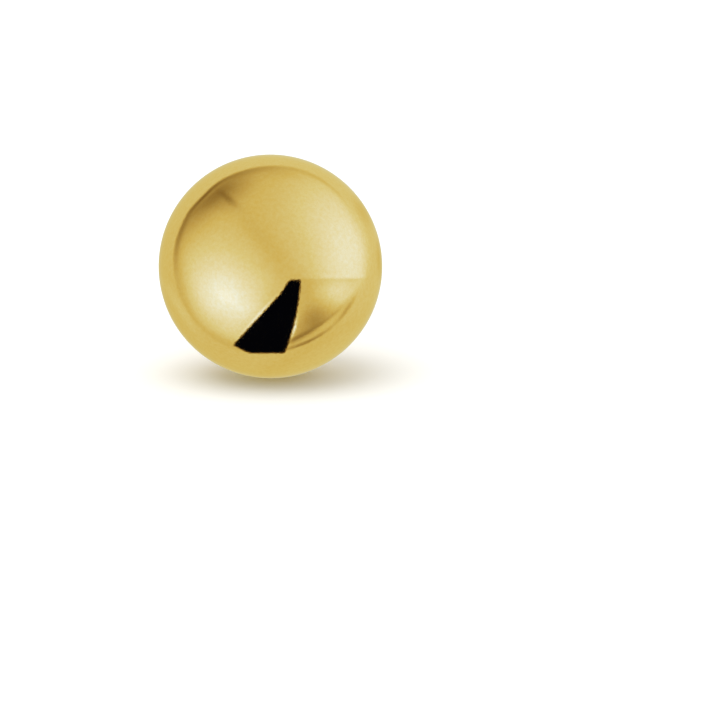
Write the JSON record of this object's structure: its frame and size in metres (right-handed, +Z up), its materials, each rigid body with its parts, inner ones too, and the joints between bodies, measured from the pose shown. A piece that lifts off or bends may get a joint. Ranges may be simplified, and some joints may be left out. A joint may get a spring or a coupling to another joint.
{
  "type": "ball stud earring",
  "caption": "Polished yellow gold ball on a straight notched post, with a butterfly friction back pushed onto the post.",
  "frame": {"origin": "on the floor, under the middle of the part as it lies on its ball and on the lower edge of its back", "axes": "+Z up; -Y is the way the ball faces, and the post runs towards +Y, sinking 10.8 degrees; +X is to the right seen from the ball's side"},
  "size_m": [0.008, 0.0178, 0.008],
  "materials": {
    "polished_gold": "polished",
    "sheet_gold": "gloss"
  },
  "bodies": {
    "root": {"ball_and_post": "polished_gold", "ear_back": "sheet_gold"}
  },
  "joints": []
}
